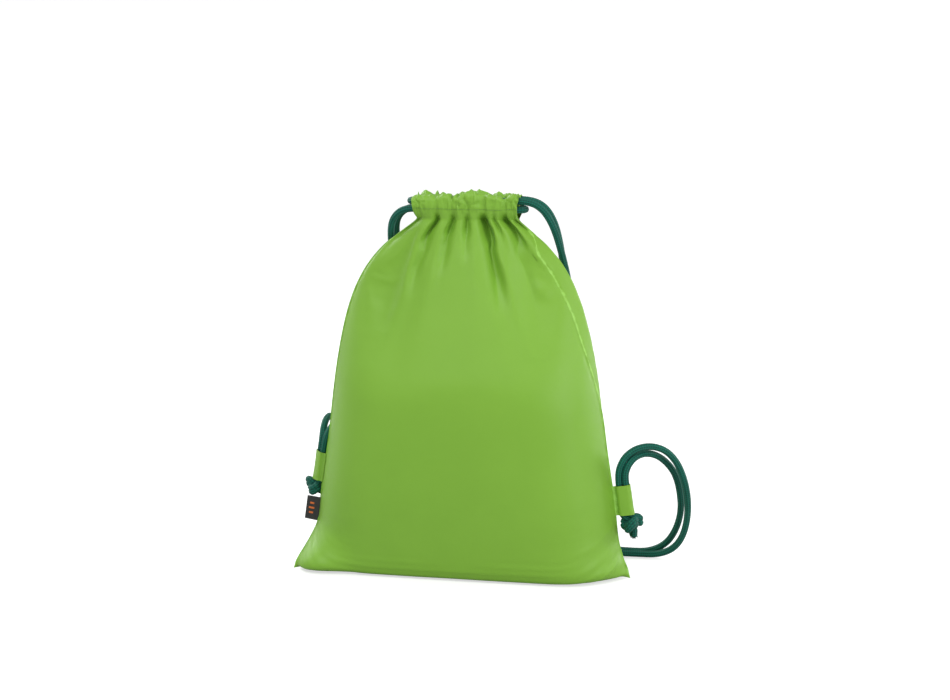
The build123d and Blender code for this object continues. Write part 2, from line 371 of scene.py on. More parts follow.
def bag_cloth():
    """Both panels as one settled sheet, with the index of its points by (face, row, column)."""
    points, flat, faces, index = cloth_start()
    cloth = mesh_object("bag_cloth", points, faces)
    cloth.shape_key_add(name="Basis")
    key = cloth.shape_key_add(name="flat")
    key.data.foreach_set("co", np.array(flat, np.float32).ravel())
    key.value = 0
    pins = {}
    for face in (-1, 1):
        for column in range(COLUMNS + 1):
            pins[index[face, ROWS, column]] = 1.0
            for row in (ROWS - 1, ROWS - 2):
                pins[index[face, row, column]] = 0.6
        for row in range(ROWS):
            for column in (0, COLUMNS):
                pins[index[face, row, column]] = 0.12
    for column in (0, COLUMNS):
        pins[index[-1, 0, column]] = 1.0
    simulate(cloth, pins)
    return cloth, index


EASE_STEPS = 18
SEAM_FORWARD = 15 * MM  # how far the upper right seam lies forward
LEFT_CORNER_FORWARD, LEFT_CORNER_OUT, RIGHT_CORNER_OUT = in_mm(34, 7, 3)
CREASE_DEPTH, CREASE_PITCH = in_mm(1.5, 21)  # at the right corner


def eased(grid):
    """The small cockles of a panel eased out, most of all low down, where the fill holds the cloth."""
    for step in range(EASE_STEPS):
        ease = np.zeros_like(grid)
        ease[:, 1:-1] = (grid[:, :-2] + grid[:, 2:]) / 2 - grid[:, 1:-1]
        calm = 1 - smoothstep(0.25, 0.33, grid[:, :, 2])
        if step < 5:
            calm = np.maximum(calm, 0.7 * (1 - smoothstep(0.335, 0.36, grid[:, :, 2])))
        grid += 0.55 * ease * calm[:, :, None]


def on_seam_line(grids):
    """Each row widened or narrowed so that its ends are on the seams."""
    for row in range(ROWS + 1):
        left, right = grids[-1][row, 0], grids[-1][row, COLUMNS]
        wanted = [seam_x((left[2] + right[2]) / 2, side) for side in (-1, 1)]
        stretch = (wanted[1] - wanted[0]) / (right[0] - left[0])
        start = left[0]
        for grid in grids.values():
            grid[row, :, 0] = wanted[0] + (grid[row, :, 0] - start) * stretch


def right_seam_forward(grids):
    """The back panel swells round the upper right side, so the seam there lies further forward."""
    for row in range(ROWS + 1):
        front, rear = grids[-1][row], grids[1][row]
        z = front[COLUMNS, 2]
        shift = SEAM_FORWARD * (smoothstep(0.15, 0.26, z) * (1 - smoothstep(0.33, 0.358, z)))
        if shift < 0.1 * MM:
            continue
        ring = np.concatenate([front, rear[-2::-1]])
        along = length_along(ring)
        share = np.linspace(0, 1, COLUMNS + 1)
        old_front, old_rear = along[: COLUMNS + 1], along[COLUMNS:]
        new_front = old_front - shift * smoothstep(0.45, 1, share)
        new_rear = old_rear - shift * (1 - smoothstep(0, 0.55, share))
        for line, at in ((front, new_front), (rear, new_rear[::-1])):
            line[:] = np.stack([np.interp(at, along, ring[:, k]) for k in range(3)], axis=1)


def finished_shape(grids):
    """Folds set in after the cloth has settled: under the mouth, and at both lower corners."""
    for face, grid in grids.items():
        for row in range(ROWS + 1):
            for column in range(1, COLUMNS):
                x, y, z = grid[row, column]
                share = column / COLUMNS
                end = (smoothstep(0, 0.05, share) * smoothstep(0.04, 0.14, 1 - share))
                grid[row, column, 1] -= face * end * 0.55 * fold_depth(face, share, z, 1.25)
    for grid in grids.values():
        x, y, z = (grid[:, :, k].copy() for k in range(3))
        low = 1 - smoothstep(0.004, 0.05, z)
        # the left corner is drawn forward, and the right one is creased towards the bag
        left = low * (1 - smoothstep(-0.172, -0.105, x))
        grid[:, :, 1] -= LEFT_CORNER_FORWARD * left
        grid[:, :, 0] -= LEFT_CORNER_OUT * left
        right = low * smoothstep(0.115, 0.165, x)
        crease = np.sin((x * 0.8 - z * 1.1) * 2 * pi / CREASE_PITCH + 0.8)
        grid[:, :, 1] -= CREASE_DEPTH * right * crease * smoothstep(0.0, 0.012, z)
        grid[:, :, 0] += RIGHT_CORNER_OUT * low * smoothstep(0.14, 0.168, x)


def settled(cloth, index):
    """The settled cloth's points as arrays of rows by columns, one for each panel."""
    co = np.array([v.co for v in cloth.data.vertices])
    grids = {}
    for face in (-1, 1):
        ids = [[index[face, row, column] for column in range(COLUMNS + 1)] for row in range(ROWS + 1)]
        grids[face] = co[np.array(ids)]
        eased(grids[face])
    on_seam_line(grids)
    right_seam_forward(grids)
    finished_shape(grids)
    bpy.data.objects.remove(cloth)
    return grids


GRIDS = settled(*bag_cloth())


# --- The drawcord channel, a continuation of each panel's cloth ---

CHANNEL_ROWS = 26
LOWER_Z = sum(corner.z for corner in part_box("left_cord_turn")) / 2
UPPER_DROP = 1.8 * MM  # the upper cord hangs this much lower inside the channel, which sags
UPPER_Z = sum(corner.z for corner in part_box("right_cord_turn")) / 2 - UPPER_DROP
HEM_ROW = 3  # where the row of stitches is


def channel_section(face, way):
    """The middle line of the channel's cloth: up its outer wall, over the top, and down inside."""
    middle_z = (CHANNEL_LOW.z + CHANNEL_HIGH.z) / 2
    half = (CHANNEL_HIGH.z - CHANNEL_LOW.z) / 2 - CHANNEL_R
    bend = pi * CHANNEL_R
    yc = face * abs(CHANNEL_Y)
    way *= 4 * half + bend
    if way < 2 * half:
        return (yc + face * CHANNEL_R, middle_z - half + way), (face, 0.0)
    if way < 2 * half + bend:
        turn = (way - 2 * half) / CHANNEL_R
        out = (face * cos(turn), sin(turn))
        return (yc + out[0] * CHANNEL_R, middle_z + half + out[1] * CHANNEL_R), out
    return (yc - face * CHANNEL_R, middle_z + half - (way - 2 * half - bend)), (-face, 0.0)


def crinkle(share, share_up, face):
    """Sharp small ridges of the gathered channel, in mm, from thin to broad."""
    warp = 0.9 * wander(share * 6, share_up * 2.5, face * 4.0)
    thin = 1 - abs(wander(share * 19 + warp, share_up * 2.2 + warp, face * 2.0)) * 3.0
    broad = wander(share * 9 + warp, share_up * 1.5, face * 7.0)
    ridges = 1 - abs(wander(share * 41, share_up * 3.0 + warp, face * 3.0)) * 3.0
    return 2.3 * tanh((1.6 * thin + 2.2 * broad + 0.7 * ridges - 1.2) / 2.3)


def clear_of_runs(y, z, outside):
    """How far from the mouth's middle the channel's wall is, kept off both cords inside it."""
    for run_z in (UPPER_Z, LOWER_Z):
        radius = CORD_RADIUS + 0.9 * MM
        tall = 9 * MM if z < run_z and run_z == LOWER_Z and outside else radius
        room = 1 - ((z - run_z) / tall) ** 2
        if room > 0:
            half = radius * sqrt(room)
            y = max(y, abs(CHANNEL_Y) + half) if outside else min(y, abs(CHANNEL_Y) - half)
    return y


def star(share, share_up, middle, height, size):
    """A small pucker with creases all round it."""
    across, up = (share - middle) * 100, (share_up - height) * 50
    away = hypot(across, up)
    rays = cos(7 * atan2(up, across) + 1.0) * exp(-(((away - size) / size) ** 2))
    return -2.4 * exp(-((away / (0.6 * size)) ** 2)) + 1.1 * rays


def channel_points(face, top_row):
    """Rows of cloth from a panel's top row round the channel, gathered into small uneven ruffles."""
    rows = []
    for row in range(1, CHANNEL_ROWS + 1):
        share_up = row / CHANNEL_ROWS
        middle, out = channel_section(face, share_up)
        join = smoothstep(0, 0.14, share_up)
        puff = sin(pi * min(1.0, share_up / 0.48)) ** 0.7 if share_up < 0.48 else 0.0
        top = (smoothstep(0.22, 0.4, share_up) * (1 - smoothstep(0.58, 0.8, share_up)))
        line = []
        for column, start in enumerate(top_row):
            share = column / COLUMNS
            wave = float(pleat_wave(face, share))
            small = crinkle(share, share_up, face)
            # the left end of the front channel stays full and smooth
            gather = 0.16 + 0.84 * smoothstep(0.2, 0.34, share) if face < 0 else 1.0
            depth = gather * small + wave * (0.35 - 0.15 * puff) + 1.3 * puff + (1 - gather) * 1.4 * puff
            if face < 0:
                depth += star(share, share_up, 0.53, 0.16, 5.5)
                depth += 0.8 * star(share, share_up, 0.1, 0.2, 4.0)
            if share_up < 0.5:
                depth = max(depth, -1.0 + 0.25 * small)
            depth = min(depth, 1.2 + 4.0 * (1 - smoothstep(0.36, 0.56, share_up)))
            peak = exp(-(((share - 0.58) / 0.14) ** 2))
            lift = top * (gather * 1.1 * small - 3.2 + 3.2 * peak - 0.8 * (1 - gather))
            ends = 1 - (smoothstep(0, 0.06, share) * smoothstep(0, 0.06, 1 - share))
            lift -= 2.0 * ends * top
            x = MOUTH_X + (start[0] - MOUTH_X) * (1.0 + 0.03 * puff + 0.02 * top)
            x += gather * 1.5 * MM * wander(share * 24, share_up * 3.5, 9.0 + face)
            hem = (1 - smoothstep(0.08, 0.3, share_up)) * 1.6 * wander(share * 6, 3.0, face)
            y = middle[0] + out[0] * depth * MM
            at = np.array((x, y, middle[1] + (out[1] * depth + lift + hem) * MM))
            at = np.array(start) * (1 - join) + at * join
            at[1] = face * clear_of_runs(abs(at[1]), at[2], share_up < 0.5)
            line.append(at)
        rows.append(line)
    return np.array(rows)


def grid_mesh(name, grid, flip, cut_u, cut_v):
    """A mesh on a grid of points, with the place on the flat cut as its UVs, in metres."""
    rows, columns = grid.shape[:2]
    faces = []
    for row in range(rows - 1):
        for column in range(columns - 1):
            a = row * columns + column
            quad = (a, a + 1, a + columns + 1, a + columns)
            faces.append(quad[::-1] if flip else quad)
    obj = mesh_object(name, grid.reshape(-1, 3), faces)
    layer = obj.data.uv_layers.new(name="cut")
    ids = np.zeros(len(obj.data.loops), int)
    obj.data.loops.foreach_get("vertex_index", ids)
    uv = np.stack([np.asarray(cut_u)[ids % columns], np.asarray(cut_v)[ids // columns]], axis=1)
    layer.data.foreach_set("uv", uv.astype(np.float32).ravel())
    return obj


def subdivided(obj):
    """The object with its Catmull-Clark subdivision applied."""
    modifier = obj.modifiers.new("subdivide", "SUBSURF")
    modifier.levels = modifier.render_levels = 1
    modifier.boundary_smooth = "PRESERVE_CORNERS"
    apply_modifiers(obj)
    shade_smooth(obj.data)
    return obj


def seam_shape(grid):
    """Both edges of a panel turned to a fine raised seam, with puckers beside it."""
    shaped = grid.copy()
    for edge, near, third in ((0, 1, 2), (-1, -2, -3)):
        for row in range(2, ROWS - 6):
            z = grid[row, edge, 2]
            side = -1 if edge == 0 else 1
            pucker = sin(2 * pi * z / (13 * MM) + 3 * wander(z * 30, side, 0.5))
            pull = (0.35 + 0.3 * pucker) * MM
            toward = grid[row, third] - grid[row, edge]
            toward /= max(np.linalg.norm(toward), 1e-6)
            normal = np.array((side * 0.3, -1.0 if grid[row, 20, 1] < 0 else 1.0, 0))
            shaped[row, near] -= normal / np.linalg.norm(normal) * pull * 1.6
            shaped[row, edge] -= toward * 0.7 * MM
    return shaped


CHANNEL_WAY = np.linspace(0, HEM_HEIGHT, CHANNEL_ROWS + 1)[1:]
CUT_U = np.linspace(0, CUT_WIDTH, COLUMNS + 1)
CUT_V = np.concatenate([np.linspace(0, CUT_HEIGHT, ROWS + 1), CUT_HEIGHT + CHANNEL_WAY])
FULL = {
    face: np.concatenate([seam_shape(grid), channel_points(face, grid[-1])])
    for face, grid in GRIDS.items()
}

front_cloth = subdivided(grid_mesh("front_cloth", FULL[-1], False, CUT_U, CUT_V))
back_cloth = subdivided(grid_mesh("back_cloth", FULL[1], True, CUT_U, CUT_V))


# --- Seam allowances inside ---


STRIP_WIDTH = 7.5 * MM


def seam_strip(name, edge, inward):
    """The turned-in edge of a seam: a narrow strip that follows the seam inside the bag."""
    across = np.linspace(0.9 * MM, STRIP_WIDTH, 4)
    sway = np.linspace(0, 0.5 * MM, 4)
    rows = [
        [point + np.array(inward) * a + np.array((0, w * sin(i * 0.55), 0)) for a, w in zip(across, sway)]
        for i, point in enumerate(edge)
    ]
    cut = np.linspace(0, STRIP_WIDTH, 4), np.linspace(0, CUT_HEIGHT, len(rows))
    return thickened(grid_mesh(name, np.array(rows), False, *cut), 0.8 * MM)


LEFT_EDGE, RIGHT_EDGE = (GRIDS[-1][3 : ROWS - 2, column] for column in (0, COLUMNS))
BASE_EDGE = GRIDS[-1][0, 3:-3] + np.array((0, 0, 0.8 * MM))
STRIPS = {
    "left_seam_allowance": seam_strip("left_seam_strip", LEFT_EDGE, (1.0, 0.0, 0.05)),
    "right_seam_allowance": seam_strip("right_seam_strip", RIGHT_EDGE, (-1.0, 0.0, 0.05)),
    "base_seam_allowance": seam_strip("base_seam_strip", BASE_EDGE, (0.0, 0.1, 1.0)),
}


# --- Stitches ---


RIBS = 8  # lengthwise ribs round a cord
BRAID_PITCH = 2.4 * MM


def tube(points, radius, sides, taper=0, braid=0.0):
    """Points, faces and UVs of a tube along a line; UVs are turns round it and metres along it."""
    line = np.array([tuple(p) for p in points])
    along = length_along(line)
    tangents = np.gradient(line, axis=0)
    tangents /= np.linalg.norm(tangents, axis=1)[:, None]
    up = np.array((0, 0, 1.0)) if abs(tangents[0][2]) < 0.8 else np.array((0, 1.0, 0))
    rings = []
    turns = np.arange(sides + 1) / sides
    angle = 2 * pi * turns[:-1]
    for i, (point, tangent) in enumerate(zip(line, tangents)):
        side = np.cross(up, tangent)
        side /= np.linalg.norm(side)
        up = np.cross(tangent, side)
        end = min(1.0, (min(along[i], along[-1] - along[i]) / taper) ** 0.5) if taper else 1.0
        size = radius * max(end, 0.25)
        slant = 2 * pi * along[i] / BRAID_PITCH + pi * np.cos(RIBS * angle)
        ribs = size * (1 + braid * np.cos(RIBS * angle) + 0.6 * braid * np.cos(slant))
        circle = np.cos(angle)[:, None] * side + np.sin(angle)[:, None] * up
        rings.append(point + ribs[:, None] * circle)
    faces, uvs = [], []
    for i in range(len(line) - 1):
        start, end = along[i], along[i + 1]
        for k in range(sides):
            n = (k + 1) % sides
            faces.append((i * sides + k, i * sides + n, (i + 1) * sides + n, (i + 1) * sides + k))
            uvs += [(turns[k], start), (turns[k + 1], start), (turns[k + 1], end), (turns[k], end)]
    last = (len(line) - 1) * sides
    faces += [tuple(reversed(range(sides))), tuple(range(last, last + sides))]
    uvs += [(0.5, along[0])] * sides + [(0.5, along[-1])] * sides
    return np.concatenate(rings), faces, uvs


def joined(name, parts):
    """One object from several (points, faces, uvs)."""
    points, faces, uvs, start = [], [], [], 0
    for part_points, part_faces, part_uvs in parts:
        points += [tuple(p) for p in part_points]
        faces += [tuple(i + start for i in face) for face in part_faces]
        uvs += part_uvs
        start += len(part_points)
    obj = mesh_object(name, points, faces)
    layer = obj.data.uv_layers.new(name="along")
    layer.data.foreach_set("uv", np.array(uvs, np.float32).ravel())
    return obj


def stitch(start, end, normal, radius=0.28 * MM):
    """One stitch of thread between two points, sunk at its ends and proud at its middle."""
    start, end, normal = (np.array(tuple(v), float) for v in (start, end, normal))
    line = [
        start + (end - start) * t + normal * (sin(pi * t) * 0.75 - 0.3) * radius * 2
        for t in np.linspace(0, 1, 7)
    ]
    return tube(line, radius, 6, taper=0.6 * MM)


HEM_SHARES = 800  # of the width, for placing stitches
STITCH_LONG, STITCH_PITCH = 6, 9  # in those shares


def hem_stitches(name, face):
    """The row of stitches under the channel, laid on the gathered cloth."""
    row = FULL[face][ROWS + HEM_ROW]
    at = np.linspace(0, COLUMNS, HEM_SHARES + 1)
    dense = np.stack([np.interp(at, np.arange(COLUMNS + 1), row[:, k]) for k in range(3)], axis=1)
    normal = np.array((0, face, 0.25))
    starts = range(8, HEM_SHARES - 17, STITCH_PITCH)
    return joined(name, [stitch(dense[start], dense[start + STITCH_LONG], normal) for start in starts])


front_stitches = hem_stitches("front_hem_stitches", -1)
back_stitches = hem_stitches("back_hem_stitches", 1)


# --- Cords ---

# Each strap's route in mm, from the channel's end to its tab
RIGHT_FRONT_ROUTE = [
    (52.9, -9.5, 381.5), (65, -9.5, 381.5), (78.5, -6.5, 375), (88, -1, 360), (94.5, 8, 337),
    (101.5, 26, 296), (106.5, 43, 240), (109.5, 53, 180), (110, 57, 120), (112, 60, 70), (118, 65, 36),
    (128, 72, 15), (144, 79, 4.8), (167, 83.5, 3.9), (190, 80.5, 5), (208, 73, 15), (219, 63, 35),
    (223.5, 49.5, 63), (222, 37, 90), (215, 28, 114), (203.5, 21, 129.5), (189, 13.5, 135.5),
    (175, 7, 133.8), (164.3, 2.6, 126.5), (158.5, 1, 115.5), (157, 0, 105), (158.1, 0, 96.3),
]  # fmt: skip
RIGHT_BACK_ROUTE = [
    (52.9, 9.5, 381.5), (65, 9.5, 381.5), (78.5, 12.5, 375), (87.5, 17.5, 359.5), (92.5, 25, 336),
    (96, 38, 294), (98, 52, 238), (98.5, 60, 180), (98.5, 64, 124), (101, 67, 76), (108.5, 70, 42),
    (119, 79.5, 19), (135, 88.5, 6), (157, 93, 4), (179, 89.5, 5.5), (197.5, 82.5, 16), (209, 73.5, 35),
    (215, 62.5, 58), (214.5, 52, 80), (211, 43.5, 99), (204.3, 36, 111.8), (195.4, 27.9, 121.6),
    (186.9, 20, 126.3), (179.5, 13.3, 127), (173.3, 7.9, 124.6), (168.5, 3.8, 119.8), (165.2, 1.1, 113),
    (163.9, 0, 105.2), (165.1, 0, 97.3),
]  # fmt: skip
LEFT_FRONT_ROUTE = [
    (-47.9, -9.5, 372.5), (-57, -9.5, 372.5), (-65.7, -7.6, 369.3), (-72.7, -4, 363.1),
    (-77.6, 2.5, 353.6), (-81, 15.5, 336), (-82, 33, 308), (-79.5, 49, 266), (-73.5, 60, 218),
    (-65, 66, 166), (-56, 67.5, 114), (-49.5, 71, 70), (-47, 77, 40), (-51.5, 85, 18.5), (-65, 91, 6),
    (-84, 89.5, 5), (-99, 81, 16), (-108.5, 73.5, 36), (-114, 67, 62), (-117.5, 61, 86),
    (-120, 56.5, 108), (-123.2, 50.3, 128.3), (-128.3, 41.6, 140.7), (-135, 30.8, 146.6),
    (-142.1, 19.4, 145.7), (-147.8, 10.3, 138.7), (-150.9, 5.4, 127.8), (-152.7, 5.4, 115.9),
]  # fmt: skip
LEFT_BACK_ROUTE = [
    (-47.9, 9.5, 372.5), (-57, 9.5, 372.5), (-65.7, 11.2, 369.2), (-72.7, 14.6, 362.8), (-77, 20, 353),
    (-78.5, 30, 335), (-77, 43, 305), (-72, 56, 262), (-64, 67, 210), (-54.5, 74, 156), (-45, 77, 104),
    (-39, 81, 64), (-37.5, 87, 36), (-43, 95, 15.5), (-57, 103, 5), (-79, 108, 3.9), (-103, 108, 5.5),
    (-125, 103, 17), (-139, 95, 38), (-147, 87, 62), (-151.5, 79.5, 87), (-153.6, 72.4, 110),
    (-154.7, 64.2, 130.8), (-155.5, 53.5, 142.7), (-155.9, 40.6, 147.9), (-155.9, 27.1, 146.5),
    (-155.6, 16.5, 139.4), (-155.3, 10.7, 128.4), (-157.1, 10.7, 116.6),
]  # fmt: skip
# node, route, real length in metres, the tab's body, and the place in mm past which the strap turns too
STRAPS = [
    ("right_front_strap", RIGHT_FRONT_ROUTE, 0.700, "right_anchor", (157, 0, 105)),
    ("right_back_strap", RIGHT_BACK_ROUTE, 0.674, "right_anchor", (163.9, 0, 105.2)),
    ("left_front_strap", LEFT_FRONT_ROUTE, 0.650, "left_anchor", (-150.9, 5.4, 127.8)),
    ("left_back_strap", LEFT_BACK_ROUTE, 0.687, "left_anchor", (-155.3, 10.7, 128.4)),
]
CORD_SIDES = 48


def route_line(name, route):
    """Points along a route's own smooth curve."""
    curve = bpy.data.curves.new(name + "_route", "CURVE")
    curve.dimensions = "3D"
    curve.resolution_u = 24
    spline = curve.splines.new("NURBS")
    spline.points.add(len(route) - 1)
    for point, place in zip(spline.points, route):
        point.co = (*in_mm(*place), 1)
    spline.order_u = 3
    spline.use_endpoint_u = True
    holder = bpy.data.objects.new(name + "_route", curve)
    mesh = bpy.data.meshes.new_from_object(holder)
    line = [tuple(v.co) for v in mesh.vertices]
    bpy.data.objects.remove(holder)
    bpy.data.meshes.remove(mesh)
    return line


def thinned(line, step):
    """The line without points nearer than a step to the one before."""
    kept = [line[0]]
    for point in line[1:-1]:
        if (Vector(point) - Vector(kept[-1])).length >= step:
            kept.append(point)
    return kept + [line[-1]]


def cord_piece(name, line):
    """A braided cord along a line."""
    return joined(name, [tube(line, CORD_RADIUS, CORD_SIDES, braid=0.028)])


straps = {}
for node, route, length, anchor, turn_point in STRAPS:
    line = thinned(route_line(node, route), 0.5 * MM)
    piece = cord_piece(node + "_cord", line)
    straps[node] = (piece, line, in_mm(*route[0]), length, anchor, Vector(in_mm(*turn_point)))

HALF_CHANNEL = (CHANNEL_HIGH.x - CHANNEL_LOW.x) / 2


def run_line(face, z, rise):
    """The line of a cord's stretch inside a channel, which rises to its strap at the right end."""
    reach, y = HALF_CHANNEL - 2 * MM, face * abs(CHANNEL_Y)
    return [
        (MOUTH_X + reach * t, y + 0.4 * MM * sin(9 * t), z + rise * smoothstep(0.6, 1, t))
        for t in np.linspace(-1, 1, 120)
    ]


def turn_line(side, z):
    """The line of a cord's half turn between the two channels, at one end of the mouth."""
    arc = np.linspace(-pi / 2, pi / 2, 60)
    x = MOUTH_X + side * (HALF_CHANNEL - 1 * MM)
    y = abs(CHANNEL_Y)
    start = [(x - side * 2.5 * MM * t, -y, z) for t in (1.0, 0.5)]
    end = [(x - side * 2.5 * MM * t, y, z) for t in (0.5, 1.0)]
    return start + [(x + side * y * cos(a), y * sin(a), z) for a in arc] + end


runs = {}
for side, z, rise in (("right", UPPER_Z, UPPER_DROP), ("left", LOWER_Z, 0.0)):
    for face, word in FACES:
        node = f"{side}_cord_{word}_run"
        runs[node] = (cord_piece(node + "_cord", run_line(face, z, rise)), word + "_mouth")
for side, end, z in (("right", -1, UPPER_Z), ("left", 1, LOWER_Z)):
    node = side + "_cord_turn"
    runs[node] = (cord_piece(node + "_cord", turn_line(end, z)), "bag")


# --- Tabs and knots ---

STRAND_OUT = (7 * MM, 14 * MM)  # from the seam to each strand
TAB_HALF = 15 * MM
KNOT_OUT, KNOT_MIDDLE = in_mm(14.5, -24.9)
LEFT_TURN = 50  # degrees that the left tab is turned back


def seam_frame(joint, turn=0):
    """Out from the bag, across the seam and up along it, at the place of a joint."""
    found = next(j for j in frame["joints"] if j["name"] == joint)
    origin, up = Vector(found["pos_m"]), Vector(found["axis"]).normalized()
    side = 1 if origin.x > 0 else -1
    out = Vector((side * up.z, 0, -side * up.x))
    axes = Matrix((out, up.cross(out), up)).transposed().to_4x4()
    return Matrix.Translation(origin) @ axes @ Matrix.Rotation(radians(side * turn), 4, "Z")


def tab_outline():
    """The tab's middle line round both strands, from one sewn end to the other, as (out, across)."""
    r = CORD_RADIUS + 0.75 * MM
    near, far = STRAND_OUT
    sewn = [in_mm(-1.2, 0.45), in_mm(2.6, 0.5), in_mm(3.6, 1.5)]

    def arc(middle, start, end, count):
        return [(middle + r * cos(a), r * sin(a)) for a in np.radians(np.linspace(start, end, count))]

    def flat(side, shares):
        return [(near + (far - near) * t, side * (r + 0.1 * MM)) for t in shares]

    line = [(out, -across) for out, across in sewn]
    line += arc(near, -128, -90, 7) + flat(-1, (0.25, 0.5, 0.75)) + arc(far, -90, 90, 19)
    return line + flat(1, (0.75, 0.5, 0.25)) + arc(near, 90, 128, 7) + sewn[::-1]


def tab_piece(name, place, seed):
    """A side tab: a band of the bag's cloth folded round both strands, with slightly uneven edges."""
    line = tab_outline()
    rows = []
    rim = np.array([0.9, 0.95, 0.985, 1])
    heights = np.concatenate([-rim[::-1], np.linspace(-0.8, 0.8, 15), rim])
    for height in heights:
        edge = smoothstep(0.86, 0.97, abs(height))
        row = []
        for i, (out, across) in enumerate(line):
            share = i / (len(line) - 1)
            loose = sin(pi * share)  # none at the sewn ends
            bulge = 1 + 0.05 * edge - 0.05 * cos(height * pi / 2) * loose**2
            crease = 0.35 * wander(share * 5, height * 2.2, seed)
            ripple = 0.25 * sin(17 * share + seed) * edge
            y = across * bulge + (crease + ripple) * MM * loose
            x = out + 0.5 * MM * wander(height * 1.7, seed, share * 2) * loose
            sag = 0.5 * MM * loose * height
            row.append(tuple(place @ Vector((x, y, height * TAB_HALF + sag))))
        rows.append(row)
    cut = np.linspace(0, 0.042, len(line)), (heights + 1) * TAB_HALF
    piece = grid_mesh(name, np.array(rows), False, *cut)
    return subdivided(thickened(piece, 0.75 * MM))


def tab_stitch_piece(name, place):
    """A bar of close stitches across the tab's sewn ends, on both faces."""
    parts = []
    turn = place.to_3x3()
    for face in (-1, 1):
        for k in range(14):
            z = (-12.3 + 1.9 * k) * MM
            start = place @ Vector((2.0 * MM, face * 0.95 * MM, z))
            end = place @ Vector((2.9 * MM, face * 1.0 * MM, z + 1.0 * MM))
            parts.append(stitch(start, end, turn @ Vector((0, face, 0)), 0.24 * MM))
    return joined(name, parts)


def smooth_line(points, count):
    """A smooth line through given points, with count points."""
    points = np.array(points, float)
    ways = length_along(points)
    slopes = np.gradient(points, ways, axis=0)
    at = np.linspace(0, ways[-1], count)
    line = []
    for value in at:
        i = min(int(np.searchsorted(ways, value, side="right")) - 1, len(ways) - 2)
        h = ways[i + 1] - ways[i]
        t = (value - ways[i]) / h
        line.append(
            (2 * t**3 - 3 * t**2 + 1) * points[i]
            + (t**3 - 2 * t**2 + t) * h * slopes[i]
            + (3 * t**2 - 2 * t**3) * points[i + 1]
            + (t**3 - t**2) * h * slopes[i + 1]
        )
    return line


FIBRES = 46  # frayed out of each cut end


def knot_piece(name, place, tilts, lift, seed):
    """Both strands in the tab, the overhand knot that ties them together, and their frayed ends."""
    random = np.random.default_rng(seed)
    middle = Vector((KNOT_OUT, 0, KNOT_MIDDLE + lift))
    parts = []
    radius = 0.94 * CORD_RADIUS
    for strand, out in enumerate(STRAND_OUT):
        shift = (strand - 0.5) * 4.4 * MM
        top = TAB_HALF + 0.4 * MM
        line = [(out, 0, top), (out, 0, top - 8 * MM), (out, 0, -6 * MM)]
        line.append((out + (strand - 0.6) * 0.6 * MM, 0, -TAB_HALF))
        # an overhand knot's own path, wound down round the strands
        for t in np.linspace(0.18, 0.86, 22) * 2 * pi:
            x = (sin(t) + 2 * sin(2 * t)) * 3.1
            y = (cos(t) - 2 * cos(2 * t)) * 2.75
            z = -3.0 * sin(3 * t) + 1.6 - 3.2 * (t / (2 * pi))
            away = Vector((x, y, 0)).normalized() * 0.25
            turn = Vector(in_mm(x + away.x, y + away.y, z))
            line.append(tuple(middle + turn + Vector((0.1, 0.25, 0.9)) * shift))
        tilt = radians(tilts[strand])
        foot = middle + Vector((3 * MM - 7 * MM * strand, (3 * strand - 1) * MM, 0))
        down = Vector((-sin(tilt), 0, -cos(tilt)))
        line += [tuple(foot + down * long) for long in in_mm(7, 10.5, 14)]
        line = smooth_line(line, 210)
        parts.append(tube([place @ Vector(p) for p in line], radius, 32, taper=1.2 * MM, braid=0.035))
        tip = Vector(line[-1])
        for _ in range(FIBRES):
            angle, off = random.random() * 2 * pi, random.random() ** 0.5 * 2.5 * MM
            root = tip + Vector((cos(angle) * off, sin(angle) * off, 0)) - down * 1.6 * MM
            lean = (down + Vector(tuple(random.normal(0, 0.33, 3)))).normalized()
            long = (1.8 + 2.4 * random.random()) * MM
            bend = Vector(tuple(random.normal(0, 0.35, 3))) * MM
            fibre = smooth_line([root, root + lean * long * 0.5 + bend, root + lean * long], 6)
            parts.append(tube([place @ Vector(p) for p in fibre], 0.2 * MM, 5, taper=1.0 * MM))
    return joined(name, parts)


# place, tilts of both cut ends in degrees, how much higher the knot is tied, and seed
TABS = {
    "right": (seam_frame("right_tab_swing"), (10, -15), 0, 3),
    "left": (seam_frame("left_tab_swing", LEFT_TURN), (-40, -75), 1.6 * MM, 8),
}
tabs = {
    side: (
        tab_piece(side + "_tab_loop", place, seed),
        tab_stitch_piece(side + "_tab_stitches", place),
        knot_piece(side + "_knot", place, tilts, lift, seed),
    )
    for side, (place, tilts, lift, seed) in TABS.items()
}


# --- Label ---

LABEL_PLACE = seam_frame("label_swing")
LABEL_OUT = (-1.0 * MM, 13.3 * MM)
LABEL_HALF = 12.6 * MM


def label_point(out, face, up, proud=0.0):
    """A point of the folded label's face, in its seam frame."""
    share = (out - LABEL_OUT[0]) / (LABEL_OUT[1] - LABEL_OUT[0])
    curl = 0.5 * MM * share**2 + 0.25 * MM * sin(up / LABEL_HALF * 2.2) * share
    gap = (0.26 + 0.24 * sin(pi * min(1, share * 1.1)) ** 0.8) * MM
    frayed = 0.2 * MM * share * sin(up * 300)
    return LABEL_PLACE @ Vector((out, curl + face * (gap + proud), up + frayed))


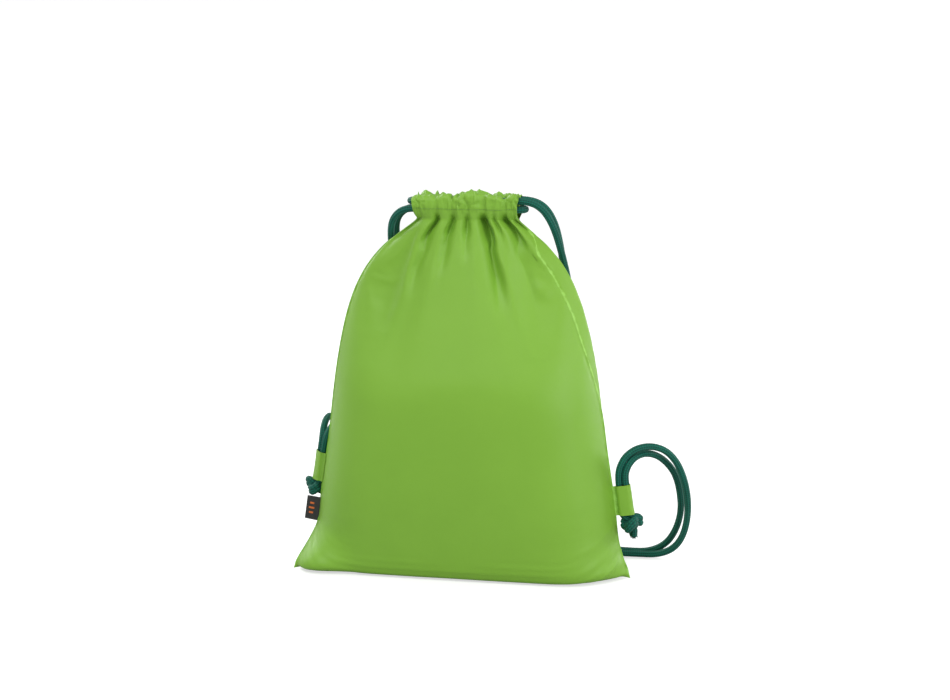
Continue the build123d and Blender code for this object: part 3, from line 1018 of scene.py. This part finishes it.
def label_piece():
    """The woven label, folded in half over its outer edge."""
    near, far = LABEL_OUT
    shares = np.linspace(0, 1, 22)
    heights = np.linspace(-LABEL_HALF, LABEL_HALF, 40)
    rows = []
    for up in heights:
        front = [label_point(near + (far - near) * s, -1, up) for s in shares]
        back = [label_point(near + (far - near) * s, 1, up) for s in shares[::-1]]
        tip = (front[-1] + back[0]) / 2 + (front[-1] - front[-2]).normalized() * 0.32 * MM
        rows.append([tuple(p) for p in front + [tip] + back])
    cut = np.linspace(0, 2 * (far - near), len(rows[0])), heights + LABEL_HALF
    piece = grid_mesh("label_fold", np.array(rows), False, *cut)
    return subdivided(thickened(piece, 0.3 * MM))


BAR_CELLS = (14, 6)  # along a bar and across it
BAR_CELL = 0.5 * MM  # on its UV map


def label_bars():
    """Three plain bars woven into each face of the label."""
    n, m = BAR_CELLS
    parts = []
    for face in (-1, 1):
        for i in (-1, 0, 1):
            half, rise = (3.1 - 0.75 * abs(i)) * MM, 1.1 * MM
            points, faces, uvs = [], [], []
            for a in range(n + 1):
                for b in range(m + 1):
                    out = 7.6 * MM + half * (2 * a / n - 1)
                    up = 5.0 * MM * i + rise * (2 * b / m - 1)
                    proud = 0.1 if a in (0, n) or b in (0, m) else 0.26
                    points.append(label_point(out, face, up, proud * MM))
            for a in range(n):
                for b in range(m):
                    corner = a * (m + 1) + b
                    quad = (corner, corner + m + 1, corner + m + 2, corner + 1)
                    faces.append(quad if face < 0 else quad[::-1])
                    uvs += [(k // (m + 1) * BAR_CELL, k % (m + 1) * BAR_CELL) for k in faces[-1]]
            parts.append((points, faces, uvs))
    return joined("label_bars", parts)


label_fold = label_piece()
bars = label_bars()


# --- Materials ---


class Value:
    """An output of a node, which can be added, subtracted and multiplied."""

    def __init__(self, nodes, socket):
        self.nodes, self.socket = nodes, socket

    def __add__(self, other):
        return self.nodes.math("ADD", self, other)

    def __sub__(self, other):
        return self.nodes.math("SUBTRACT", self, other)

    def __rsub__(self, other):
        return self.nodes.math("SUBTRACT", other, self)

    def __mul__(self, other):
        return self.nodes.math("MULTIPLY", self, other)


class Nodes:
    """A material's node tree, with short ways to add to it."""

    def __init__(self, name, **sockets):
        self.material = bpy.data.materials.new(name)
        self.material.use_nodes = True
        self.tree = self.material.node_tree
        self.shader = self.tree.nodes["Principled BSDF"]
        for socket, value in sockets.items():
            self.shader.inputs[socket.replace("_", " ")].default_value = value

    def put(self, socket, value):
        """Links a socket or sets its value."""
        if isinstance(value, Value):
            self.tree.links.new(value.socket, socket)
        else:
            socket.default_value = value

    def add(self, kind, **inputs):
        """A node with its inputs set or linked."""
        node = self.tree.nodes.new(kind)
        for name, value in inputs.items():
            self.put(node.inputs[name.replace("_", " ")], value)
        return node

    def out(self, node, socket=0):
        """A node's output as a value."""
        return Value(self, node.outputs[socket])

    def math(self, operation, *values):
        """The result of one Math node."""
        node = self.tree.nodes.new("ShaderNodeMath")
        node.operation = operation
        for socket, value in zip(node.inputs, values):
            self.put(socket, value)
        return self.out(node)

    def mix(self, factor, colour_low, colour_high):
        """Two colours mixed."""
        node = self.tree.nodes.new("ShaderNodeMix")
        node.data_type = "RGBA"
        for socket, value in ((0, factor), (6, colour_low), (7, colour_high)):
            self.put(node.inputs[socket], value)
        return self.out(node, 2)

    def ramp(self, factor, low, high, colour_low, colour_high):
        """Blends two colours as a factor goes from low to high."""
        node = self.add("ShaderNodeMapRange", Value=factor, From_Min=low, From_Max=high)
        node.interpolation_type = "SMOOTHSTEP"
        return self.mix(self.out(node), colour_low, colour_high)

    def noise(self, scale, detail=2.0, roughness=0.5):
        """The value of a noise texture in object coordinates."""
        place = self.out(self.tree.nodes.new("ShaderNodeTexCoord"), "Object")
        kind = "ShaderNodeTexNoise"
        return self.out(self.add(kind, Vector=place, Scale=scale, Detail=detail, Roughness=roughness))

    def uv(self):
        """The U and V of the mesh's own map."""
        both = self.out(self.tree.nodes.new("ShaderNodeTexCoord"), "UV")
        node = self.add("ShaderNodeSeparateXYZ", Vector=both)
        return self.out(node, 0), self.out(node, 1)

    def bump(self, height, distance, strength, under=None):
        """A bump node, stacked on another one if that is given."""
        node = self.add("ShaderNodeBump", Height=height, Distance=distance, Strength=strength)
        if under is not None:
            self.put(node.inputs["Normal"], under)
        return self.out(node)

    def finish(self, colour, roughness, normal):
        """Links what varies to the shader."""
        for socket, value in (("Base Color", colour), ("Roughness", roughness), ("Normal", normal)):
            self.put(self.shader.inputs[socket], value)
        return self.material


WEAVE_PITCH = 0.55 * MM
TWIST_PITCH = 0.5 * MM
TURN = 2 * pi


def cloth_material(name, base, light, dark, roughness):
    """Thin coated taffeta: a close plain weave with its hollows painted darker as painted shade, soft
    gloss, slight creases, and paler seam edges that are partly wear and partly a painted highlight.
    """
    n = Nodes(name, Sheen_Weight=0.03, Sheen_Roughness=0.4, IOR=1.42, Specular_IOR_Level=0.42)
    u, v = n.uv()
    weave = n.math("SINE", u * (TURN / WEAVE_PITCH)) * n.math("SINE", v * (TURN / WEAVE_PITCH))
    slub = n.noise(900, 1.0)
    folds = n.math("ABSOLUTE", n.noise(26, 3.0, 0.55) - 0.5)
    # Paler along both seams: partly wear, partly a painted highlight on the seam's edge.
    seam_wear_and_highlight = n.math("MINIMUM", u, CUT_WIDTH - u) + (n.noise(140) - 0.5) * (5 * MM)
    plain = n.ramp(n.noise(9, 3.0), 0.3, 0.7, dark, light)
    # Darker where the weave is low: painted shade in its hollows; the slub is the yarn's own uneven tone.
    mixed = n.ramp(weave * 0.5 + slub, 0.0, 1.2, tuple(0.9 * c for c in base[:3]) + (1,), base)
    pale_wear_and_highlight = tuple(min(1, 1.4 * c + 0.06) for c in base[:3]) + (1,)
    colour = n.ramp(seam_wear_and_highlight, -0.3 * MM, 2.6 * MM, pale_wear_and_highlight, n.mix(0.5, plain, mixed))
    fine = n.bump(weave + slub * 0.6, 0.035 * MM, 0.5)
    return n.finish(colour, (n.noise(60) - 0.5) * 0.12 + roughness, n.bump(folds, 0.9 * MM, 0.22, fine))


def cord_material(name, base, groove_shade):
    """Braided cord: lengthwise ribs of slanting stitches, with a soft fuzz, painted darker in the braid's
    grooves as painted shade.
    """
    n = Nodes(name, Sheen_Weight=0.04, Sheen_Roughness=0.5, Specular_IOR_Level=0.22)
    u, v = n.uv()
    rib = n.math("COSINE", u * (TURN * RIBS))
    slant = n.math("ABSOLUTE", n.math("SINE", u * (pi * RIBS))) * 2.6
    stitches = n.math("SINE", v * (TURN / BRAID_PITCH) + slant)
    threads = n.math("SINE", v * (6 * TURN / BRAID_PITCH) + slant * 5)
    fuzz = n.noise(1500)
    height = rib * 0.5 + (stitches * 0.4 + threads * 0.12)
    # Darker where the braid is low: painted shade in its grooves.
    colour = n.ramp(height + (n.noise(45) - 0.5) * 0.9, -0.8, 0.8, groove_shade, base)
    fine = n.bump(fuzz, 0.05 * MM, 0.35)
    return n.finish(colour, fuzz * 0.2 + 0.52, n.bump(height, 0.22 * MM, 0.7, fine))


def thread_material(name, base, dark):
    """Twisted sewing thread, painted darker in the twist's grooves as painted shade."""
    n = Nodes(name, Sheen_Weight=0.2)
    u, v = n.uv()
    twist = n.math("SINE", v * (TURN / TWIST_PITCH) + u * (2 * TURN))
    # Darker where the twist is low: painted shade in its grooves.
    colour = n.ramp(twist + n.noise(500, 1.0), -1.0, 1.6, dark, base)
    return n.finish(colour, n.noise(300, 1.0) * 0.15 + 0.42, n.bump(twist, 0.06 * MM, 0.6))


def woven_material(name, base, dark, pitch, roughness):
    """A close satin weave for the label and its bars, painted darker between the threads as painted
    shade.
    """
    n = Nodes(name, Sheen_Weight=0.2)
    u, v = n.uv()
    across, up = n.math("SINE", u * (TURN / pitch)), n.math("SINE", v * (TURN / (pitch * 0.7)))
    weave = n.math("MAXIMUM", across, up)
    # Darker where the weave is low: painted shade between its threads.
    colour = n.ramp(weave + n.noise(220), -0.4, 1.7, dark, base)
    return n.finish(colour, n.noise(90) * 0.15 + roughness, n.bump(weave, 0.05 * MM, 0.6))


LIME = cloth_material(
    "lime_taffeta", (0.200, 0.420, 0.038, 1), (0.210, 0.436, 0.041, 1), (0.184, 0.394, 0.033, 1), 0.41
)
CORD = cord_material("green_braid", (0.003, 0.135, 0.090, 1), (0.001, 0.050, 0.034, 1))
THREAD = thread_material("lime_thread", (0.150, 0.320, 0.038, 1), (0.085, 0.200, 0.022, 1))
LABEL = woven_material(
    "label_charcoal", (0.022, 0.022, 0.024, 1), (0.010, 0.010, 0.011, 1), 0.42 * MM, 0.55
)
ORANGE = woven_material("label_orange", (0.78, 0.17, 0.02, 1), (0.52, 0.09, 0.01, 1), 0.36 * MM, 0.45)


def dress(piece, material, slot, body, *nodes):
    """The piece's material, its body and the CAD nodes that it replaces; the slot is not used."""
    piece.data.materials.clear()
    piece.data.materials.append(material)
    if body:
        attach(piece, body)
    if nodes:
        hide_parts(*nodes)


# --- What each piece is, and how it moves ---

PANELS = ((front_cloth, front_stitches), (back_cloth, back_stitches))
for (face, word), (piece, stitches) in zip(FACES, PANELS):
    dress(piece, LIME, "lime_cloth", None, word + "_panel", word + "_channel")
    dress(stitches, THREAD, "sewing_thread", None, word + "_channel_stitching")
    for soft in (piece, stitches):
        y = face * abs(CHANNEL_Y)
        word + "_mouth"
        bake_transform(soft)

for node, strip in STRIPS.items():
    dress(strip, LIME, "lime_cloth", "bag", node)

for node, (piece, line, exit_point, length, anchor, turn_point) in straps.items():
    dress(piece, CORD, "green_cord", None, node)
    before_turn = turn_point + Vector((0, 0.0195, 0.0032))
    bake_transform(piece)

for node, (piece, body) in runs.items():
    dress(piece, CORD, "green_cord", body, node)

for side, (loop, sewing, knot) in tabs.items():
    body = side + "_anchor"
    dress(loop, LIME, "lime_cloth", body, side + "_tab")
    dress(sewing, THREAD, "sewing_thread", body, side + "_tab_stitching")
    dress(knot, CORD, "green_cord", body, side + "_cord_knot")

dress(label_fold, LABEL, "label_cloth", "seam_label", "label")
dress(bars, ORANGE, "label_thread", "seam_label", "label_motif")


# --- Floor, light and camera ---

SWEEP_Y, SWEEP_RADIUS = 2.2, 1.2  # where the paper starts to rise behind the bag, and how
rise = [
    (SWEEP_Y + SWEEP_RADIUS * sin(a), SWEEP_RADIUS * (1 - cos(a)))
    for a in np.linspace(0, pi / 2, 25)[1:]
]
sweep = [(-4.0, 0.0), (SWEEP_Y, 0.0), *rise, (SWEEP_Y + SWEEP_RADIUS, 4.5)]
floor = mesh_object(
    "floor",
    [(x, y, z) for y, z in sweep for x in (-5, 5)],
    [(2 * i, 2 * i + 1, 2 * i + 3, 2 * i + 2) for i in range(len(sweep) - 1)],
)
paper = bpy.data.materials.new("floor_paper")
paper.use_nodes = True
PAPER = {
    "Base Color": (0.5, 0.5, 0.5, 1),
    "Roughness": 0.85,
    "Emission Color": (1, 1, 1, 1),
    "Emission Strength": 0.62,
}
for socket, value in PAPER.items():
    paper.node_tree.nodes["Principled BSDF"].inputs[socket].default_value = value
floor.data.materials.append(paper)
lit_by_floor = bpy.data.collections.new("lit_by_floor")
lit_by_floor.objects.link(floor)
floor.light_linking.receiver_collection = lit_by_floor

world = bpy.data.worlds.new("studio")
world.use_nodes = True
sky = world.node_tree.nodes["Background"]
sky.inputs["Color"].default_value = (1, 1, 1, 1)
sky.inputs["Strength"].default_value = 0.55
bpy.context.scene.world = world


def area_light(name, place, aim, energy, size):
    """A soft square lamp that points at a place."""
    light = bpy.data.lights.new(name, "AREA")
    light.energy, light.size = energy, size
    lamp = bpy.data.objects.new(name, light)
    bpy.context.scene.collection.objects.link(lamp)
    lamp.location = place
    lamp.rotation_euler = (Vector(aim) - Vector(place)).to_track_quat("-Z", "Y").to_euler()


# name, place, aim, power in watts and size
LAMPS = [
    ("key", (-0.35, -1.35, 1.75), (0, 0, 0.25), 19, 0.8),
    ("side", (1.5, -0.9, 0.7), (0.05, 0, 0.2), 12, 0.6),
    ("shoulder", (-1.3, 0.8, 1.15), (0, 0, 0.25), 20, 1.3),
    ("edge", (1.6, 1.0, 0.45), (0.1, 0, 0.2), 12, 0.6),
]
for lamp_values in LAMPS:
    area_light(*lamp_values)

AZIMUTH, ELEVATION, DISTANCE = radians(12), radians(9), 1.9
AIM_ACROSS, AIM_HEIGHT = in_mm(9.6, 229)
camera_data = bpy.data.cameras.new("camera")
camera_data.lens, camera_data.sensor_width = 71.1, 36
camera_data.clip_start, camera_data.clip_end = 0.05, 30
camera = bpy.data.objects.new("camera", camera_data)
bpy.context.scene.collection.objects.link(camera)
back = Vector(
    (sin(AZIMUTH) * cos(ELEVATION), -cos(AZIMUTH) * cos(ELEVATION), sin(ELEVATION))
)
aim = Vector((cos(AZIMUTH), sin(AZIMUTH), 0)) * AIM_ACROSS + Vector((0, 0, AIM_HEIGHT))
camera.location = aim + back * DISTANCE
camera.rotation_euler = (-back).to_track_quat("-Z", "Y").to_euler()
bpy.context.scene.camera = camera
bpy.context.scene.view_settings.view_transform = "Standard"
